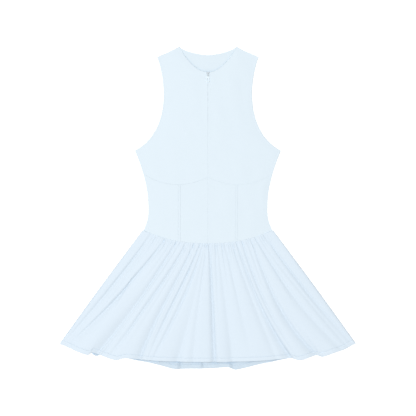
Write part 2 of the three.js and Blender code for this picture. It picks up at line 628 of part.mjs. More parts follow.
const dress = new THREE.Group();
function add(name, geometry, material, parent = dress) {
  const mesh = new THREE.Mesh(geometry, material);
  mesh.name = name;
  parent.add(mesh);
  return mesh;
}

add("back_bodice", backBodice(), CLOTH_FINISH);
add("back_skirt", backSkirt(), SKIRT_FINISH);
const channelIn = CHANNEL.half - CHANNEL.width / 2;
const channelOut = CHANNEL.half + CHANNEL.width / 2;
for (const [name, side] of [["left", 1], ["right", -1]]) {
  add(`front_bust_${name}`, bustPanel(side), CLOTH_FINISH);
  add(`centre_front_${name}`, midriffPanel(side, SEAM / 2, channelIn - SEAM / 2, 6), CLOTH_FINISH);
  add(`boning_channel_${name}`, midriffPanel(side, channelIn + SEAM / 2, channelOut - SEAM / 2, 2, CHANNEL.proud), CLOTH_FINISH);
  add(`side_front_${name}`, midriffPanel(side, channelOut + SEAM / 2, undefined, 7), CLOTH_FINISH);
  add(`zip_tape_${name}`, zipTape(side), TAPE_FINISH);
}
add("front_skirt", frontSkirt(), SKIRT_FINISH);

const slider = new THREE.Group();
slider.position.y = TOP - SLIDER.down;
add("zip_slider", zipSlider(), SLIDER_FINISH, slider);
const pull = add("zip_pull", zipPull(), PULL_FINISH, slider);
pull.position.z = HINGE_HEIGHT;
pull.rotation.x = THREE.MathUtils.degToRad(PULL.tilt);
dress.add(slider);

export default dress;
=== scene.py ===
"""Sleeveless zip dress, laid out flat: the looks of each piece, in the frame of its solid model."""

import math
from collections import namedtuple
import bpy
import numpy as np
from bpy.props import FloatProperty, FloatVectorProperty, IntProperty, PointerProperty
from mathutils import Matrix


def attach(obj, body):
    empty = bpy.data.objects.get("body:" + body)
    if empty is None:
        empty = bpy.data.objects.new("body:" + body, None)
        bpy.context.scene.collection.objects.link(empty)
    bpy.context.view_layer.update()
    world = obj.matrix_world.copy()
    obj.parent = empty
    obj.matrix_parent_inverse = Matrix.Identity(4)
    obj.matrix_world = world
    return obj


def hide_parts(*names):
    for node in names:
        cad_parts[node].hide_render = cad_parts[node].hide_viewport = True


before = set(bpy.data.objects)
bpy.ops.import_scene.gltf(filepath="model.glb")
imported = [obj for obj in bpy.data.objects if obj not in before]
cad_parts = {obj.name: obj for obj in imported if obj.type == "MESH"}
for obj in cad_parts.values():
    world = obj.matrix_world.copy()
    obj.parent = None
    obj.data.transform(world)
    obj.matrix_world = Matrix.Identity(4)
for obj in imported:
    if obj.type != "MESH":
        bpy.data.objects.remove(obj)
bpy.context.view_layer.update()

bl_info = {
    "name": "Sleeveless zip dress",
    "version": (1, 0, 0),
    "blender": (4, 5, 0),
    "location": "3D View > Sidebar > Dress",
    "description": "Builds the cloth, stitching and zip of a laid-out dress over its solid model",
    "category": "Object",
}

MM = 0.001

# Pattern, in millimetres. "half" is a distance sideways from the centre line, and "down" is a
# distance down the dress from the high point of the shoulder. The wearer's left is +X.
TOP = 404.0
CLOTH = 1.2
SEAM = 0.3
JOIN = 0.02  # between the edges of two pieces that are sewn together
NECK = (71.5, 0.0)
SHOULDER = (127.0, 27.0)
UNDERARM = (182.5, 261.0)
FRONT_NECK_DOWN = 64.5
BACK_NECK_DOWN = 21.8
ARMHOLE_CURVE = [SHOULDER, (100.0, 100.0), (99.0, 217.5), UNDERARM]
FRONT_NECK_CURVE = [NECK, (58.5, 29.0), (29.0, FRONT_NECK_DOWN), (2.2, FRONT_NECK_DOWN)]
BACK_NECK_CURVE = [NECK, (65.5, 11.0), (23.0, BACK_NECK_DOWN), (0.0, BACK_NECK_DOWN)]
SHOULDER_SAG = 3.0
# How far each edge turns down, and over what width.
BUST_EDGES = ((0.09, 2.4), (0.3, 1.8), (0.15, 1.5))  # inner, outer and bottom
MIDRIFF_EDGES = (0.07, 0.02, 0.13, 0.1)  # inner, outer, bottom and top, each over MIDRIFF_TURN
MIDRIFF_TURN = 1.5
NECK_LAID, NECK_LAID_WIDTH = 0.7, 16  # the front neck edge lies down on the back panel
NECK_LIP, NECK_LIP_WIDTH = {"left": 0.9, "right": 0.15}, 0.9
SIDE_SEAM = [(261, 182.5), (309, 164.8), (360, 152.4), (401, 149), (432, 150.8), (461, 161)]
LIFT = [(0, 0), (26, 1.5), (60, 2.4), (110, 2.6), (230, 3), (400, 2.3), (500, 2.4)]
UNDERBUST_CENTRE, UNDERBUST_LOW, UNDERBUST_LOW_AT = 327.5, 346.5, 74.0
CHANNEL_HALF, CHANNEL_WIDTH, CHANNEL_PROUD = 71.3, 5.6, 0.2

# Skirt
WAIST_HALF, WAIST_SIDE, WAIST_CENTRE, WAIST_CURVE = 161.0, 461.0, 493.5, 2.3
SKIRT_TOP, SKIRT_BOW = 163.6, 1.5
HEM_HALF, HEM_CORNER = 370.0, 743.0
HEM_DEPTH = 9.7  # from the hem's edge up to its stitching
SKIRT_LENGTH = 297.0
BACK_RIDGE = (0.5, 2.4, 4.0)
FRONT_LOFT = (1.6, 4.4, 6.8)
SIDE_LOFT, SIDE_ROLL, SIDE_FALL = 3.4, 9.0, 60.0
SLOPE_AT_WAIST, LEAST_APART = 2.2, 1.3
FOLD_ROOM = 0.3  # between a fold's bottom and the back skirt

Hem = namedtuple("Hem", "centre flat power lobes")
Lobe = namedtuple("Lobe", "at drop right left")
FRONT_HEM = Hem(789.0, 0.0, 2.57, [
    Lobe(-300, 9, 55, 6),
    Lobe(-230, 8.5, 38, 14),
    Lobe(230, 9, 15, 36),
    Lobe(287, 10, 12, 45),
    Lobe(342, 4, 20, 16),
])
BACK_HEM = Hem(806.5, 60.0, 1.15, [
    Lobe(-281, 11.5, 12, 14),
    Lobe(-88, 4.2, 30, 22),
    Lobe(53, -3.5, 35, 4),
    Lobe(68, 4.3, 5, 42),
])

# Where each fold's bottom runs at the waist seam, halfway down and at the hem, how much of the
# skirt's loft it cuts away at those places, and how far its slopes reach at the hem to the wearer's
# right and left.
Fold = namedtuple("Fold", "waist middle hem cuts right left")
FRONT_FOLDS = [
    Fold(-141, -248.5, -365, (0.85, 0.75, 0.4), 5, 10),
    Fold(-134.8, -236, -359, (0.6, 0.3, 0.3), 4, 4),
    Fold(-127, -229, -357, (0.4, 0, 0), 4, 4),
    Fold(-106, -219.8, -354, (0.85, 0.85, 0.7), 6, 15),
    Fold(-98.5, -207.5, -325, (0.7, 0, 0), 5, 6),
    Fold(-87.3, -190, -300, (0.4, 0, 0), 5, 5),
    Fold(-77.3, -169.8, -276, (0.85, 0.75, 1), 16, 6),
    Fold(-67.3, -161, -266, (0.5, 0.35, 0.7), 5, 8),
    Fold(-53.5, -142.3, -250, (0.8, 0.6, 0.3), 9, 7),
    Fold(-47.3, -127.3, -215, (0.4, 0.15, 0), 6, 6),
    Fold(-33.5, -104.8, -170, (0.85, 0.7, 0.9), 14, 5),
    Fold(-27.3, -94, -160, (0.4, 0.2, 0.2), 5, 5),
    Fold(-18.5, -84.8, -150, (0.9, 0.75, 0.2), 7, 6),
    Fold(-11.5, -66, -139.8, (0.7, 0.6, 0.3), 6, 6),
    Fold(-7, -37.3, -76, (0.5, 0.25, 0.8), 16, 10),
    Fold(-2.5, -22.3, -37, (0.7, 0.3, 0.3), 10, 8),
    Fold(4.5, 10.8, 16.5, (0.95, 0.9, 0.9), 9, 6),
    Fold(19, 25.3, 35, (0.6, 0.1, 0), 5, 5),
    Fold(24, 44, 61.5, (0.4, 0.4, 0.6), 12, 16),
    Fold(34, 57.5, 80, (0.7, 0, 0), 5, 5),
    Fold(42.8, 76.5, 110, (0.55, 0.3, 0), 8, 10),
    Fold(59, 112, 172.5, (0.6, 0.5, 0.3), 12, 8),
    Fold(71.5, 125.3, 208, (0.85, 0.85, 1), 18, 5),
    Fold(84, 139, 230, (0.75, 0.5, 0), 7, 7),
    Fold(99, 153, 246, (0.6, 0, 0), 5, 5),
    Fold(107.8, 169, 271.5, (0.7, 0.75, 1), 12, 5),
    Fold(112.8, 183, 279, (0.4, 0, 0.7), 6, 9),
    Fold(117.8, 212.8, 337, (0.85, 0.7, 0.5), 14, 12),
    Fold(125.3, 234, 351, (0.4, 0.35, 0.3), 4, 4),
    Fold(131.5, 240, 357, (0.4, 0, 0), 4, 4),
    Fold(139, 245.5, 364, (0.85, 0.75, 0.5), 10, 5),
]
BACK_FOLDS = [
    Fold(-140, -240, -338, 0.6, 14, 9),
    Fold(-118, -206, -290, 0.9, 12, 10),
    Fold(-97, -168, -236, 0.7, 18, 9),
    Fold(-79, -130, -182, 0.9, 12, 14),
    Fold(-60, -92, -128, 0.6, 16, 8),
    Fold(-42, -60, -75, 1.0, 20, 2.5),
    Fold(-20, -19, -17, 0.9, 24, 2.5),
    Fold(2, 8, 18, 0.5, 10, 12),
    Fold(22, 38, 56, 1.0, 18, 2.5),
    Fold(44, 72, 104, 0.6, 12, 18),
    Fold(66, 112, 158, 0.8, 14, 10),
    Fold(86, 150, 212, 0.7, 10, 16),
    Fold(108, 190, 268, 0.9, 14, 12),
    Fold(136, 232, 326, 0.6, 12, 10),
]

# Zip
ZIP_GAP, ZIP_GAP_AT_NECK, ZIP_SPREAD = 0.01, 2.2, 15.5
Slit = namedtuple("Slit", "down wide reach")
SLITS = [Slit(97, 0.12, 5), Slit(121, 0.2, 3), Slit(133, 0.12, 6), Slit(156, 0.1, 7),
         Slit(176, 0.1, 10)]
TAPE_WIDTH, TAPE_THICK, TAPE_BACK = 13.0, 1.0, 0.02
COIL_PITCH, COIL_HALF, COIL_LEAN, COIL_THREAD = 1.5, 0.62, 0.2, 0.26
COIL_UP, COIL_RISE = 0.22, 0.1  # over the tape, and from one end of a turn to the other
SLIDER_DOWN = 70.5
SHIELD_THICK, SHIELD_HALF, SHIELD_TIP_HALF, SHIELD_TOP, SHIELD_TIP = 1.0, 3.9, 2.2, 6.0, -4.0
FOOT_THICK, FOOT_HALF, FOOT_TOP, FOOT_END = 0.8, 3.2, 5, -4
POST_HALF, POST_TOP, POST_END, POST_SUNK = 0.7, 4.5, -0.5, 0.4
BRIDGE_WIDTH, BRIDGE_THICK, BRIDGE_ROOM, BRIDGE_SUNK = 1.6, 1.0, 2.2, 0.5
BRIDGE_TOP, BRIDGE_END = 3.6, -3.2
PULL_THICK, PULL_HINGE_UP = 1.2, 1.1
PULL_LEAN = 3  # degrees, lower at its end
PULL_HALF, PULL_NECK_HALF, PULL_SLOT_HALF, PULL_SLOT_END = 4.5, 2.4, 1.25, -5.6
PULL_TOP, PULL_NECK, PULL_WIDEST, PULL_END = 0.25, -6.6, -16.5, -21.0
PULL_PIN_RADIUS, PULL_PIN_LENGTH = 0.55, 4.2


def smoothstep(x, low, high):
    """0 below low, 1 above high, and a smooth rise between."""
    t = np.clip((x - low) / (high - low), 0, 1)
    return t * t * (3 - 2 * t)


def mix(a, b, t):
    return a + (b - a) * t


def hump(distance, right, left, power=2.0):
    """A bump with its own reach to each side."""
    return np.exp(-(np.abs(distance) / np.where(distance < 0, right, left)) ** power)


def pattern_curve(points, t):
    """Points (half, down) on a cubic curve of the pattern."""
    a, b, c, d = np.array(points, float)
    t = np.asarray(t, float)[..., None]
    s = 1 - t
    return s**3 * a + 3 * s * s * t * b + 3 * s * t * t * c + t**3 * d


def read_table(rows):
    """A smooth curve through the rows of a table."""
    xs, ys = np.array(rows, float).T
    steps = np.arange(len(xs))
    before, after = np.maximum(steps - 1, 0), np.minimum(steps + 1, len(xs) - 1)
    slopes = (ys[after] - ys[before]) / (xs[after] - xs[before])

    def read(x):
        x = np.clip(x, xs[0], xs[-1])
        k = np.clip(np.searchsorted(xs, x, side="right") - 1, 0, len(xs) - 2)
        span = xs[k + 1] - xs[k]
        t = (x - xs[k]) / span
        value = (1 + 2 * t) * (1 - t) ** 2 * ys[k] + t * t * (3 - 2 * t) * ys[k + 1]
        return value + span * (t * (1 - t) ** 2 * slopes[k] + t * t * (t - 1) * slopes[k + 1])

    return read


side_half = read_table(SIDE_SEAM)
lift_down = read_table(LIFT)
armhole_half = read_table(pattern_curve(ARMHOLE_CURVE, np.linspace(0, 1, 25))[:, ::-1])


def bodice_half(down):
    """Half the width of the bodice at a distance down."""
    return np.where(down < UNDERARM[1], armhole_half(down), side_half(down))


def shoulder(t):
    """Points on the shoulder seam, from the neck to the armhole."""
    t = np.asarray(t, float)
    half = mix(NECK[0], SHOULDER[0], t)
    down = mix(NECK[1], SHOULDER[1], t) + SHOULDER_SAG * np.sin(np.pi * t) * (1 - t)
    return np.stack([half, down], -1)


def underbust_down(half):
    depth = UNDERBUST_LOW - UNDERBUST_CENTRE
    return UNDERBUST_LOW - depth * ((half - UNDERBUST_LOW_AT) / UNDERBUST_LOW_AT) ** 2


def waist_down(half):
    return WAIST_CENTRE - (WAIST_CENTRE - WAIST_SIDE) * (half / WAIST_HALF) ** WAIST_CURVE


def underbust_corner():
    """Where the underbust seam meets the side seam."""
    half = 160.0
    for _ in range(20):
        half = side_half(underbust_down(half))
    return float(half), float(underbust_down(half))


UNDERBUST_SIDE = underbust_corner()


def zip_gap(down):
    """Half of the gap between the front edges along the zip."""
    opened = np.clip((FRONT_NECK_DOWN + ZIP_SPREAD - down) / ZIP_SPREAD, 0, 1)
    slits = sum(slit.wide * np.exp(-(((down - slit.down) / slit.reach) ** 2)) for slit in SLITS)
    return ZIP_GAP + slits + (ZIP_GAP_AT_NECK - ZIP_GAP) * opened**1.5


def front_under(half, down):
    """The height of the front layer's underside, over the back layer."""
    half = np.abs(half)
    across = np.clip((half - NECK[0]) / (SHOULDER[0] - NECK[0]), 0, 1)
    from_shoulder = np.maximum(0, down - shoulder(across)[..., 1])
    share = np.clip(half / bodice_half(down), 0, 1)
    return CLOTH + SEAM + lift_down(from_shoulder) * (1 - share**4)


def ripples(x, y, seed, wave, octaves=2):
    """Gentle unevenness of a hand-laid cloth, between about -1 and 1."""
    total = np.zeros(np.broadcast(x, y).shape)
    rng = np.random.default_rng(seed)
    for octave in range(octaves):
        for _ in range(5):
            angle, phase = rng.uniform(0, np.pi), rng.uniform(0, 2 * np.pi)
            k = 2 * np.pi / wave * 1.9**octave * rng.uniform(0.75, 1.3)
            part = np.sin(k * (x * np.cos(angle) + y * np.sin(angle)) + phase)
            total = total + part * 0.45 / 1.8**octave
    return total


def merged(*positions):
    """Grid positions in order, without any that repeat."""
    return np.unique(np.concatenate(positions).round(5))


def edge_lines(count, size, near=(0.5, 1.2, 2.4, 4.5)):
    """Grid positions from 0 to 1, closer together at both ends of a piece of this size."""
    near = [d / size for d in near]
    ends = near + [1 - d for d in near]
    return merged(np.linspace(0, 1, count), ends)


def patch(inner, outer, bottom, top, us, vs):
    """Points (half, down) over a four-sided pattern piece, in columns and rows."""
    u, v = us[:, None, None], vs[None, :, None]
    ends = [edge(np.array(k)) for edge in (inner, outer) for k in (0.0, 1.0)]
    low = mix(ends[0], ends[2], u)
    high = mix(ends[1], ends[3], u)
    across = mix(inner(vs)[None], outer(vs)[None], u)
    along = mix(bottom(us)[:, None], top(us)[:, None], v)
    return across + along - mix(low, high, v)


def edge_distances(points):
    """How far each grid point is from the piece's four edges: inner, outer, bottom, top."""
    gap = lambda a: np.linalg.norm(points - a, axis=-1)
    return gap(points[:1]), gap(points[-1:]), gap(points[:, :1]), gap(points[:, -1:])


def turned(distance, height, reach):
    """The roll of a turned edge: a low ridge just inside the edge, which falls away at it."""
    ridge = np.exp(-((distance - reach) / reach) ** 2)
    return height * (ridge - np.exp(-((distance / (0.6 * reach)) ** 2)))


def bust_points(us, vs):
    neck_row, underarm_row = 0.7, 0.2
    foot = lambda half: underbust_down(half) - JOIN

    def inner(v):
        down = mix(foot(ZIP_GAP), FRONT_NECK_DOWN, np.minimum(v / neck_row, 1))
        zip_edge = np.stack([zip_gap(down), down], -1)
        neck = pattern_curve(FRONT_NECK_CURVE, np.clip((1 - v) / (1 - neck_row), 0, 1))
        return np.where((v > neck_row)[..., None], neck, zip_edge)

    def outer(v):
        down = mix(UNDERBUST_SIDE[1] - JOIN, UNDERARM[1], np.minimum(v / underarm_row, 1))
        side = np.stack([side_half(down), down], -1)
        arm = pattern_curve(ARMHOLE_CURVE, np.clip((1 - v) / (1 - underarm_row), 0, 1))
        return np.where((v > underarm_row)[..., None], arm, side)

    def bottom(u):
        half = mix(ZIP_GAP, float(side_half(UNDERBUST_SIDE[1] - JOIN)), u)
        return np.stack([half, foot(half)], -1)

    return patch(inner, outer, bottom, shoulder, us, vs)


def midriff_points(start, stop, us, vs):
    """A piece of the midriff between two distances from the centre line, or out to the side seam."""
    at_side = stop is None
    top_out = UNDERBUST_SIDE[0] if at_side else stop
    foot_out = WAIST_HALF if at_side else stop
    top = lambda half: np.stack([half, underbust_down(half)], -1)
    foot = lambda half: np.stack([half, waist_down(half)], -1)

    def inner(v):
        down = mix(waist_down(start), underbust_down(start), v)
        return np.stack([np.full_like(down, start), down], -1)

    def outer(v):
        down = mix(waist_down(foot_out), underbust_down(top_out), v)
        return np.stack([side_half(down) if at_side else np.full_like(down, stop), down], -1)

    bottom_edge = lambda u: foot(mix(start, foot_out, u))
    top_edge = lambda u: top(mix(start, top_out, u))
    return patch(inner, outer, bottom_edge, top_edge, us, vs)


def skirt_half(v):
    return mix(SKIRT_TOP, HEM_HALF, v) + SKIRT_BOW * np.sin(np.pi * v)


def down_skirt(values, v):
    """A value given at the waist seam, halfway down and at the hem."""
    waist, middle, hem = values
    t = 2 * v
    return waist + t * (middle - waist) + t * (t - 1) * (hem - 2 * middle + waist) / 2


def hem_down(hem, x):
    out = np.maximum(0, np.abs(x) - hem.flat) / (HEM_HALF - hem.flat)
    down = hem.centre - (hem.centre - HEM_CORNER) * out**hem.power
    return down + sum(lobe.drop * hump(x - lobe.at, lobe.right, lobe.left) for lobe in hem.lobes)


def fold_lines(folds, v):
    """Where each fold runs at v, for each row of the grid."""
    lines = []
    for fold in folds:
        shares = (fold.waist / SKIRT_TOP, fold.middle / skirt_half(0.5), fold.hem / HEM_HALF)
        line = down_skirt(shares, v) * skirt_half(v)
        lines.append(np.maximum(line, lines[-1] + LEAST_APART) if lines else line)
    return lines


def ridge_room(x, v):
    """The height kept for the back skirt's ridges."""
    return down_skirt(BACK_RIDGE, v) * smoothstep(skirt_half(v) - np.abs(x), 0, SIDE_FALL)


def back_skirt_under(x, v, lines):
    rise = np.zeros_like(x)
    for fold, line in zip(BACK_FOLDS, lines):
        reach = mix(SLOPE_AT_WAIST / fold.right, 1, v)
        rise = np.maximum(rise, fold.cuts * hump(x - line, fold.right * reach, fold.left * reach))
    return ridge_room(x, v) * rise


def front_skirt_top(x, v, lines, depth=1.0):
    side = skirt_half(v) - np.abs(x)
    inner = smoothstep(side, 0, SIDE_FALL)
    floor = 2 * CLOTH + SEAM + FOLD_ROOM + ridge_room(x, v) + SEAM * inner
    full = down_skirt(FRONT_LOFT, v)
    roll = np.sqrt(1 - (1 - np.clip(side / SIDE_ROLL, 0, 1)) ** 2)
    loft = mix(np.minimum(SIDE_LOFT, full), full, inner) * roll
    share = np.ones_like(x)
    for fold, line in zip(FRONT_FOLDS, lines):
        cut = depth * np.clip(down_skirt(fold.cuts, v), 0, 1)
        right, left = mix(SLOPE_AT_WAIST, fold.right, v), mix(SLOPE_AT_WAIST, fold.left, v)
        share = share * (1 - cut * hump(x - line, right, left, 1.5))
    return floor + loft * share


def skirt_columns(folds, spacing, most):
    """Grid columns that run along the folds: the fold that each follows, and its share of the way
    to the next one. They stand closer together near the folds."""
    waist = [-SKIRT_TOP] + [fold.waist for fold in folds] + [SKIRT_TOP]
    hem = [-HEM_HALF] + [fold.hem for fold in folds] + [HEM_HALF]
    columns = []
    for k in range(len(waist) - 1):
        width = max(hem[k + 1] - hem[k], 2 * (waist[k + 1] - waist[k]))
        count = int(np.clip(round(width / spacing), 4, most))
        columns += [(k, n / count) for n in range(count)]
    columns.append((len(waist) - 2, 1.0))
    return np.array([k for k, _ in columns]), np.array([share for _, share in columns])


def skirt_grid(folds, hem, surface, us, vs):
    """A skirt layer's points: x, down and the height of one face, in columns and rows."""
    gaps, shares = us
    v = np.broadcast_to(vs, (len(gaps), len(vs)))
    rows = [np.broadcast_to(line, vs.shape) for line in fold_lines(folds, vs)]
    edges = np.array([-skirt_half(vs)] + rows + [skirt_half(vs)])
    x = mix(edges[gaps], edges[gaps + 1], shares[:, None])
    across = x / skirt_half(v)
    start = waist_down(np.minimum(np.abs(across) * SKIRT_TOP, WAIST_HALF)) + JOIN
    down = mix(start, hem_down(hem, across * HEM_HALF), v)
    return x, down, surface(x, v, [line[None, :] for line in rows]), v


def new_object(name, mesh, material, body="dress"):
    obj = bpy.data.objects.new(name, mesh)
    bpy.context.scene.collection.objects.link(obj)
    mesh.materials.append(material)
    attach(obj, body)
    return obj


def cloth_piece(name, x, down, z, material, free_edge=False):
    """A piece of cloth whose upper face is a grid of points, with its thickness below it. A free
    edge is rounder than one that is sewn to its neighbour."""
    columns, rows = x.shape
    points = np.stack([x, TOP - down, z], -1).reshape(-1, 3) * MM
    k = np.arange(columns * rows).reshape(columns, rows)
    quads = np.stack([k[:-1, :-1], k[1:, :-1], k[1:, 1:], k[:-1, 1:]], -1).reshape(-1, 4)
    a, b, c = points[quads[:, 0]], points[quads[:, 1]], points[quads[:, 2]]
    if np.cross(b - a, c - a)[:, 2].sum() < 0:
        quads = quads[:, ::-1]
    mesh = bpy.data.meshes.new(name)
    mesh.from_pydata(points.tolist(), [], quads.tolist())
    mesh.shade_smooth()
    obj = new_object(name, mesh, material)
    sizes = bpy.context.scene.dress_sizes
    wall = obj.modifiers.new("Cloth thickness", "SOLIDIFY")
    wall.thickness = sizes.cloth
    wall.offset = -1
    rim = obj.modifiers.new("Rounded edges", "BEVEL")
    rim.width = sizes.edge_round if free_edge else sizes.seam_round
    rim.segments = 2
    rim.limit_method = "ANGLE"
    rim.angle_limit = math.radians(55)
    return obj


def mirrored(points, side):
    return side * points[..., 0], points[..., 1]


def joined_mesh(name, parts):
    """One mesh from many lists of points and faces."""
    points, faces, start = [], [], 0
    for part_points, part_faces in parts:
        points.append(np.asarray(part_points, float))
        faces += [tuple(start + k for k in face) for face in part_faces]
        start += len(part_points)
    mesh = bpy.data.meshes.new(name)
    mesh.from_pydata((np.concatenate(points) * MM).tolist(), [], faces)
    mesh.shade_smooth()
    return mesh


def stitch(start, stop, radius, sides=6):
    """One stitch of thread, a small spindle whose ends sink into the cloth."""
    start, stop = np.array(start, float), np.array(stop, float)
    along = stop - start
    along /= np.linalg.norm(along)
    side = np.cross(along, [0.0, 0.0, 1.0])
    side /= np.linalg.norm(side)
    up = np.cross(side, along)
    points, faces = [], []
    stations = [(0.0, 0.35, -0.9), (0.16, 0.9, -0.1), (0.5, 1.0, 0.15), (0.84, 0.9, -0.1),
                (1.0, 0.35, -0.9)]  # share of the length, share of the radius, height
    for share, size, height in stations:
        centre = mix(start, stop, share) + up * height * radius
        for k in range(sides):
            angle = 2 * np.pi * k / sides
            points.append(centre + radius * size * (side * np.cos(angle) + up * np.sin(angle)))
    for ring in range(len(stations) - 1):
        for k in range(sides):
            a, b = ring * sides + k, ring * sides + (k + 1) % sides
            faces.append((a, b, b + sides, a + sides))
    last = (len(stations) - 1) * sides
    faces.append(tuple(range(sides))[::-1])
    faces.append(tuple(range(last, last + sides)))
    return points, faces


def stitches_along(line):
    """Stitches at an even pitch along a line of points."""
    sizes = bpy.context.scene.dress_sizes
    length, gap = sizes.stitch_length / MM, sizes.stitch_gap / MM
    line = np.asarray(line, float)
    steps = np.concatenate([[0], np.cumsum(np.linalg.norm(np.diff(line, axis=0), axis=1))])
    at = lambda s: [np.interp(s, steps, line[:, k]) for k in range(3)]
    starts = np.arange(gap, steps[-1] - length, length + gap)
    return [stitch(at(s), at(s + length), sizes.thread / MM) for s in starts]


def add_stitches(name, lines):
    parts = [part for line in lines for part in stitches_along(line)]
    return new_object(name, joined_mesh(name, parts), thread_material())


# Materials

def new_material(name):
    material = bpy.data.materials.new(name)
    material.use_nodes = True
    tree = material.node_tree
    return material, tree, tree.nodes["Principled BSDF"]


def plug(tree, socket, value):
    """Give an input a value, or the output that it follows."""
    if isinstance(value, bpy.types.NodeSocket):
        tree.links.new(value, socket)
    else:
        socket.default_value = value


def feed(tree, node, **inputs):
    """Plug a node's inputs, by their names."""
    for name, value in inputs.items():
        plug(tree, node.inputs[name.replace("_", " ")], value)
    return node


def add_node(tree, kind, **inputs):
    return feed(tree, tree.nodes.new("ShaderNode" + kind), **inputs)


def group_node(tree, group, **inputs):
    """The outputs of a node that holds a group."""
    node = tree.nodes.new("ShaderNodeGroup")
    node.node_tree = group
    return feed(tree, node, **inputs).outputs


def math_node(tree, operation, a, b=0.0):
    node = tree.nodes.new("ShaderNodeMath")
    node.operation = operation
    plug(tree, node.inputs[0], a)
    plug(tree, node.inputs[1], b)
    return node.outputs[0]


def colour_mix(tree, factor, a, b):
    node = tree.nodes.new("ShaderNodeMix")
    node.data_type = "RGBA"
    return feed(tree, node, Factor=factor, A=a, B=b).outputs["Result"]


def object_place(tree):
    return add_node(tree, "TexCoord").outputs["Object"]


def chosen(name, share=1.0):
    """One of the dress's colours with its alpha, made lighter or darker by a share."""
    rgb = getattr(bpy.context.scene.dress_colours, name)
    return (*(share * value for value in rgb), 1.0)


def new_group(name, colours, values):
    """An empty shader group with these inputs, which gives a colour, a roughness and a height."""
    tree = bpy.data.node_groups.new(name, "ShaderNodeTree")
    for kind, defaults in (("NodeSocketColor", colours), ("NodeSocketFloat", values)):
        for label, value in defaults.items():
            socket = tree.interface.new_socket(name=label, in_out="INPUT", socket_type=kind)
            socket.default_value = value
    for label, kind in (("Colour", "Color"), ("Roughness", "Float"), ("Height", "Float")):
        tree.interface.new_socket(name=label, in_out="OUTPUT", socket_type="NodeSocket" + kind)
    return tree, tree.nodes.new("NodeGroupInput").outputs, tree.nodes.new("NodeGroupOutput")


def knit_group():
    """Fine jersey loops: columns of small Vs, with the uneven tone of dyed knit, and painted shade:
    ambient occlusion darkens the colour towards a cool tone in the cloth's own folds and next to other
    cloth.
    """
    name = "Fine jersey knit"
    if name in bpy.data.node_groups:
        return bpy.data.node_groups[name]
    tree, given, end = new_group(
        name,
        {"Colour": (0.6, 0.7, 0.8, 1), "Shade colour": (0.5, 0.6, 0.7, 1),
         "Crease colour": (0.35, 0.5, 0.66, 1)},
        {"Loops per metre": 1400.0, "Unevenness": 0.3, "Crease depth": 0.8,
         "Beside other cloth": 0.3, "Roughness": 0.6})
    calc = lambda operation, a, b=0.0: math_node(tree, operation, a, b)
    place = object_place(tree)
    split = add_node(tree, "SeparateXYZ", Vector=place).outputs
    column = calc("PINGPONG", calc("MULTIPLY", split["X"], given["Loops per metre"]), 0.5)
    y = calc("MULTIPLY", split["Y"], given["Loops per metre"])
    course = calc("FRACT", calc("ADD", calc("MULTIPLY", y, 1.3), column))
    rise = calc("SINE", calc("MULTIPLY", course, math.pi))
    wale = calc("POWER", calc("MULTIPLY", column, 2.0), 0.6)
    loop = calc("MULTIPLY", rise, wale)
    cloud = add_node(tree, "TexNoise", Vector=place, Scale=22.0, Detail=4.0).outputs["Fac"]
    slub = add_node(tree, "TexNoise", Vector=place, Scale=420.0, Detail=2.0).outputs["Fac"]
    tone = calc("ADD", calc("MULTIPLY", cloud, 0.4), calc("MULTIPLY", slub, 0.6))
    tone = calc("MULTIPLY", calc("SUBTRACT", tone, 0.25), given["Unevenness"])
    between = calc("MULTIPLY", calc("SUBTRACT", 1.0, loop), 0.25)
    tone = calc("ADD", tone, calc("MULTIPLY", between, given["Unevenness"]))
    knit = colour_mix(tree, tone, given["Colour"], given["Shade colour"])
    # Painted shade: ambient occlusion, from the cloth's own folds and, by the beside share, from other
    # cloth and the floor, darkens the colour towards the painted crease shade colour.
    folded, covered = (add_node(tree, "AmbientOcclusion", Distance=0.012) for _ in range(2))
    folded.samples = covered.samples = 8
    folded.only_local = True
    open_to = add_node(tree, "Mix", Factor=given["Beside other cloth"],
                       A=folded.outputs["AO"], B=covered.outputs["AO"])
    closed = calc("SUBTRACT", 1.0, open_to.outputs["Result"])
    crease = calc("MULTIPLY", closed, given["Crease depth"])
    gloss = calc("MULTIPLY", calc("SUBTRACT", slub, 0.5), 0.12)
    feed(tree, end, Colour=colour_mix(tree, crease, knit, given["Crease colour"]),
         Roughness=calc("ADD", given["Roughness"], gloss),
         Height=calc("ADD", loop, calc("MULTIPLY", slub, 0.8)))
    return tree


def knit_material(name, tone, roughness, sheen, crease, beside):
    """A knit. The painted crease shade and painted shade beside shares say how far painted shade
    darkens its colour in its own folds and next to other cloth.
    """
    if name in bpy.data.materials:
        return bpy.data.materials[name]
    material, tree, surface = new_material(name)
    knit = group_node(tree, knit_group(), Colour=chosen(tone), Shade_colour=chosen("cloth_shade"),
                      Crease_colour=chosen("crease"), Crease_depth=crease,
                      Beside_other_cloth=beside, Roughness=roughness)
    bump = add_node(tree, "Bump", Distance=0.00005, Strength=0.35, Height=knit["Height"])
    feed(tree, surface, Base_Color=knit["Colour"], Roughness=knit["Roughness"],
         Normal=bump.outputs["Normal"], Specular_IOR_Level=0.25, Sheen_Weight=sheen,
         Sheen_Roughness=0.5)
    return material


# The last two numbers of each knit set its painted shade: how far its colour darkens in its own folds
# and next to other cloth.
def cloth_material():
    return knit_material("Pale blue knit", "cloth", 0.62, 0.12, 0.5, 0.3)


# The skirt's knit is a shaded copy of the cloth colour, painted shade for its folds.
def skirt_material():
    return knit_material("Pale blue skirt knit", "skirt", 0.62, 0.12, 0.9, 0.12)


def inside_material():
    return knit_material("Inside of the bodice knit", "inside", 0.75, 0.05, 0.65, 1.0)


# The skirt's wrong side, darkened as painted shade for the front hem's shadow, with strong painted
# crease shade.
def skirt_inside_painted_shade_material():
    return knit_material("Inside of the skirt knit", "skirt_inside_painted_shade", 0.8, 0.05, 2.0, 1.0)


